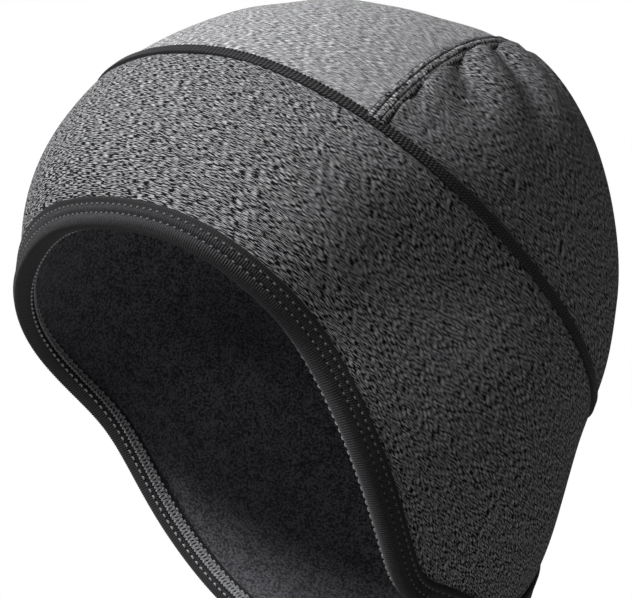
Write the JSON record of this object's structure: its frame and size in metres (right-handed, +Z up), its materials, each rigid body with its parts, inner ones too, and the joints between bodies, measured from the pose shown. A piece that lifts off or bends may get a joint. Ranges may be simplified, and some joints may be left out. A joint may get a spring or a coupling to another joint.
{
  "type": "helmet liner cap",
  "caption": "Soft close-fitting cap with ear flaps and a nape, of melange jersey over dark fleece, with a bound hem and a gathered back, worn under a helmet.",
  "frame": {"origin": "inside of the crown, where the top of the head sits", "axes": "+Z up, the face opening looks towards -Y, the ear flaps hang at +X and -X"},
  "size_m": [0.1682, 0.1956, 0.2055],
  "materials": {
    "melange_jersey": "brushed heather jersey with dark and light flecks",
    "dark_fleece": "short dull fleece",
    "ribbed_tape": "finely ribbed knitted tape",
    "seam_thread": "dark overlapping cover stitches"
  },
  "bodies": {
    "root": {"front_panel": "melange_jersey", "crown_panel": "melange_jersey", "back_panel": "melange_jersey", "fleece_lining": "dark_fleece", "edge_binding": "ribbed_tape", "crown_seam": "seam_thread", "cross_seam": "melange_jersey"}
  },
  "joints": []
}
